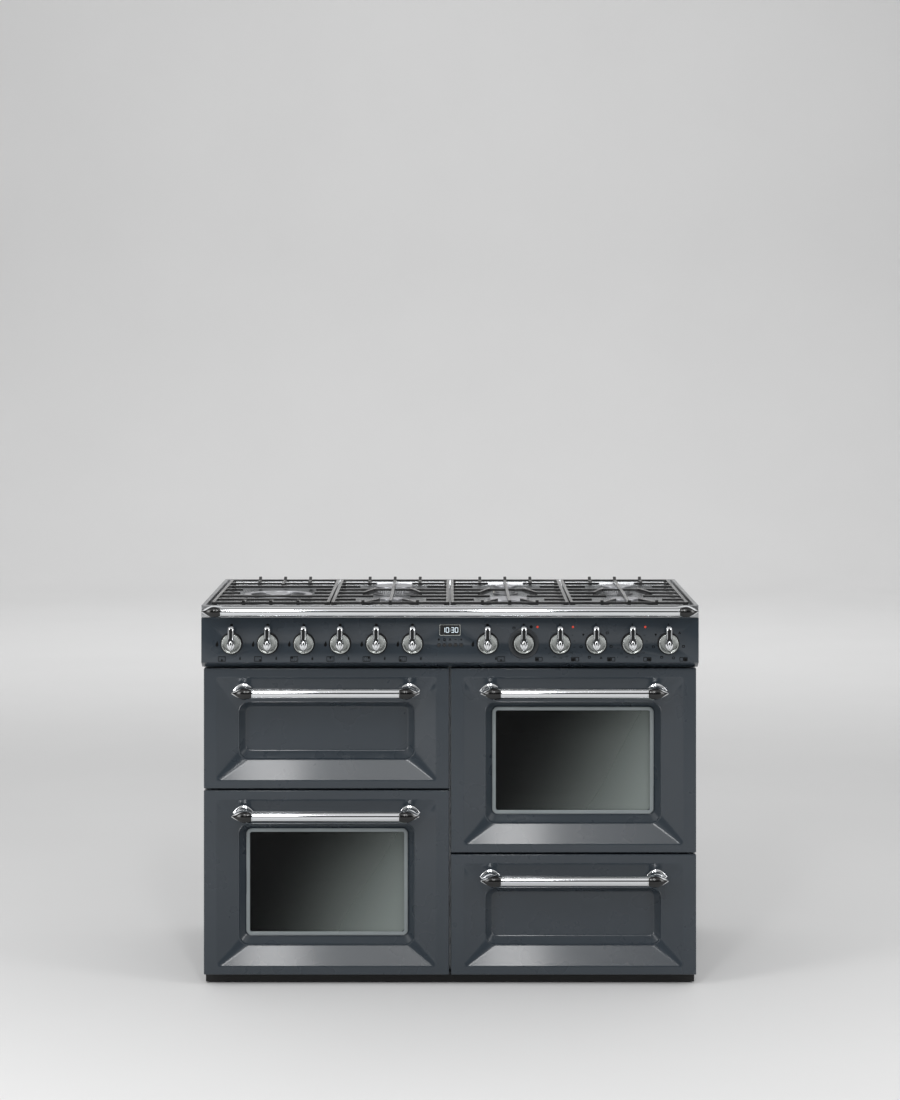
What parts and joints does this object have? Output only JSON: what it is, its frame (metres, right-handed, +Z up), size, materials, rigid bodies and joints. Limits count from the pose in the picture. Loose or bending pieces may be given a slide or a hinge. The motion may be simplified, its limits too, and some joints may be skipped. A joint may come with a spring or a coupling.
{
  "type": "range cooker",
  "caption": "Wide range cooker with gas burners under cast pan supports, drop-down grill and oven doors, lever knobs, a storage drawer and a front rail.",
  "frame": {"origin": "middle of the whole cooker's box, on the floor", "axes": "+X to the cook's right, +Y to the back, +Z up"},
  "size_m": [1.1, 0.669, 0.857],
  "materials": {
    "enamel": "glossy slate grey enamel",
    "chrome": "polished",
    "knob_metal": "satin disc, polished lever",
    "gloss_black": "gloss",
    "hob_steel": "polished",
    "cast_iron": "matt enamel",
    "burner_alloy": "satin",
    "oven_glass": "tinted",
    "clock_glass": "gloss",
    "moulding": "satin",
    "black_ring": "satin",
    "black_paint": "satin",
    "galvanised": "zinc",
    "oven_enamel": "gloss, speckled",
    "mineral_wool": "fibrous",
    "rack_chrome": "bright wire",
    "element_steel": "heat tinted",
    "brass": "plain",
    "seal_rubber": "matt",
    "foot_rubber": "matt"
  },
  "bodies": {
    "cooker_body": {"side_panels": "enamel", "back_panel": "galvanised", "chassis": "galvanised", "plinth": "black_paint", "control_panel": "enamel", "hob_top": "hob_steel", "front_rail": "chrome", "rail_end_caps": "gloss_black", "oven_cavities": "oven_enamel", "oven_insulation": "mineral_wool", "drawer_runners": "galvanised", "oven_shelving": "rack_chrome", "heaters_and_motors": "element_steel", "burner_bodies": "burner_alloy", "burner_caps": "burner_alloy", "clock_display": "clock_glass", "gas_rail": "brass", "oven_controls": "moulding", "door_seals": "seal_rubber", "knob_bezels": "black_ring", "door_hinges": "galvanised"},
    "knob_1": {"knob_1": "knob_metal"},
    "knob_2": {"knob_2": "knob_metal"},
    "knob_3": {"knob_3": "knob_metal"},
    "knob_4": {"knob_4": "knob_metal"},
    "knob_5": {"knob_5": "knob_metal"},
    "knob_6": {"knob_6": "knob_metal"},
    "knob_7": {"knob_7": "knob_metal"},
    "knob_8": {"knob_8": "knob_metal"},
    "knob_9": {"knob_9": "knob_metal"},
    "knob_10": {"knob_10": "knob_metal"},
    "knob_11": {"knob_11": "knob_metal"},
    "knob_12": {"knob_12": "knob_metal"},
    "clock_button_1": {"clock_button_1": "moulding"},
    "clock_button_2": {"clock_button_2": "moulding"},
    "clock_button_3": {"clock_button_3": "moulding"},
    "clock_button_4": {"clock_button_4": "moulding"},
    "clock_button_5": {"clock_button_5": "moulding"},
    "pan_support_1": {"pan_support_1": "cast_iron"},
    "pan_support_2": {"pan_support_2": "cast_iron"},
    "pan_support_3": {"pan_support_3": "cast_iron"},
    "pan_support_4": {"pan_support_4": "cast_iron"},
    "left_oven_door": {"left_oven_door_shell": "enamel", "left_oven_door_glass": "oven_glass", "left_oven_handle_bar": "chrome", "left_oven_handle_ends": "gloss_black"},
    "right_oven_door": {"right_oven_door_shell": "enamel", "right_oven_door_glass": "oven_glass", "right_oven_handle_bar": "chrome", "right_oven_handle_ends": "gloss_black"},
    "grill_door": {"grill_door_shell": "enamel", "grill_handle_bar": "chrome", "grill_handle_ends": "gloss_black"},
    "drawer": {"drawer_front": "enamel", "drawer_box": "galvanised", "drawer_handle_bar": "chrome", "drawer_handle_ends": "gloss_black"},
    "feet": {"levelling_feet": "foot_rubber"},
    "left_oven_fan": {"left_oven_fan": "element_steel"},
    "right_oven_fan": {"right_oven_fan": "element_steel"}
  },
  "joints": [
    {"name": "knob_1_turn", "type": "hinge", "parent": "cooker_body", "child": "knob_1", "pos_m": [-0.483, -0.2905, 0.764], "axis": [0, -1, 0], "range_deg": [0, 210]},
    {"name": "knob_2_turn", "type": "hinge", "parent": "cooker_body", "child": "knob_2", "pos_m": [-0.403, -0.2905, 0.764], "axis": [0, -1, 0], "range_deg": [0, 210]},
    {"name": "knob_3_turn", "type": "hinge", "parent": "cooker_body", "child": "knob_3", "pos_m": [-0.323, -0.2905, 0.764], "axis": [0, -1, 0], "range_deg": [0, 210]},
    {"name": "knob_4_turn", "type": "hinge", "parent": "cooker_body", "child": "knob_4", "pos_m": [-0.243, -0.2905, 0.764], "axis": [0, -1, 0], "range_deg": [0, 210]},
    {"name": "knob_5_turn", "type": "hinge", "parent": "cooker_body", "child": "knob_5", "pos_m": [-0.163, -0.2905, 0.764], "axis": [0, -1, 0], "range_deg": [0, 210]},
    {"name": "knob_6_turn", "type": "hinge", "parent": "cooker_body", "child": "knob_6", "pos_m": [-0.083, -0.2905, 0.764], "axis": [0, -1, 0], "range_deg": [0, 210]},
    {"name": "knob_7_turn", "type": "hinge", "parent": "cooker_body", "child": "knob_7", "pos_m": [0.083, -0.2905, 0.764], "axis": [0, -1, 0], "range_deg": [0, 210]},
    {"name": "knob_8_turn", "type": "hinge", "parent": "cooker_body", "child": "knob_8", "pos_m": [0.163, -0.2905, 0.764], "axis": [0, 1, 0], "range_deg": [0, 270]},
    {"name": "knob_9_turn", "type": "hinge", "parent": "cooker_body", "child": "knob_9", "pos_m": [0.243, -0.2905, 0.764], "axis": [0, 1, 0], "range_deg": [0, 270]},
    {"name": "knob_10_turn", "type": "hinge", "parent": "cooker_body", "child": "knob_10", "pos_m": [0.323, -0.2905, 0.764], "axis": [0, 1, 0], "continuous": true},
    {"name": "knob_11_turn", "type": "hinge", "parent": "cooker_body", "child": "knob_11", "pos_m": [0.403, -0.2905, 0.764], "axis": [0, 1, 0], "range_deg": [0, 270]},
    {"name": "knob_12_turn", "type": "hinge", "parent": "cooker_body", "child": "knob_12", "pos_m": [0.483, -0.2905, 0.764], "axis": [0, 1, 0], "continuous": true},
    {"name": "clock_button_1_press", "type": "slide", "parent": "cooker_body", "child": "clock_button_1", "axis": [0, 1, 0], "range_m": [0, 0.001], "stiffness_N_per_m": 600, "springref_m": -0.0005},
    {"name": "clock_button_2_press", "type": "slide", "parent": "cooker_body", "child": "clock_button_2", "axis": [0, 1, 0], "range_m": [0, 0.001], "stiffness_N_per_m": 600, "springref_m": -0.0005},
    {"name": "clock_button_3_press", "type": "slide", "parent": "cooker_body", "child": "clock_button_3", "axis": [0, 1, 0], "range_m": [0, 0.001], "stiffness_N_per_m": 600, "springref_m": -0.0005},
    {"name": "clock_button_4_press", "type": "slide", "parent": "cooker_body", "child": "clock_button_4", "axis": [0, 1, 0], "range_m": [0, 0.001], "stiffness_N_per_m": 600, "springref_m": -0.0005},
    {"name": "clock_button_5_press", "type": "slide", "parent": "cooker_body", "child": "clock_button_5", "axis": [0, 1, 0], "range_m": [0, 0.001], "stiffness_N_per_m": 600, "springref_m": -0.0005},
    {"name": "pan_support_1_lift", "type": "slide", "parent": "cooker_body", "child": "pan_support_1", "axis": [0, 0, 1], "range_m": [0, 0.15]},
    {"name": "pan_support_2_lift", "type": "slide", "parent": "cooker_body", "child": "pan_support_2", "axis": [0, 0, 1], "range_m": [0, 0.15]},
    {"name": "pan_support_3_lift", "type": "slide", "parent": "cooker_body", "child": "pan_support_3", "axis": [0, 0, 1], "range_m": [0, 0.15]},
    {"name": "pan_support_4_lift", "type": "slide", "parent": "cooker_body", "child": "pan_support_4", "axis": [0, 0, 1], "range_m": [0, 0.15]},
    {"name": "left_oven_door_hinge", "type": "hinge", "parent": "cooker_body", "child": "left_oven_door", "pos_m": [-0.2745, -0.258, 0.035], "axis": [1, 0, 0], "range_deg": [0, 84]},
    {"name": "right_oven_door_hinge", "type": "hinge", "parent": "cooker_body", "child": "right_oven_door", "pos_m": [0.2745, -0.258, 0.3063], "axis": [1, 0, 0], "range_deg": [0, 90]},
    {"name": "grill_door_hinge", "type": "hinge", "parent": "cooker_body", "child": "grill_door", "pos_m": [-0.2745, -0.258, 0.4485], "axis": [1, 0, 0], "range_deg": [0, 90]},
    {"name": "drawer_slide", "type": "slide", "parent": "cooker_body", "child": "drawer", "axis": [0, -1, 0], "range_m": [0, 0.43]},
    {"name": "feet_screw_out", "type": "slide", "parent": "cooker_body", "child": "feet", "axis": [0, 0, -1], "range_m": [0, 0.05]},
    {"name": "left_oven_fan_spin", "type": "hinge", "parent": "cooker_body", "child": "left_oven_fan", "pos_m": [-0.2745, 0.2105, 0.23], "axis": [0, 1, 0], "continuous": true},
    {"name": "right_oven_fan_spin", "type": "hinge", "parent": "cooker_body", "child": "right_oven_fan", "pos_m": [0.2745, 0.2105, 0.5013], "axis": [0, 1, 0], "continuous": true}
  ]
}
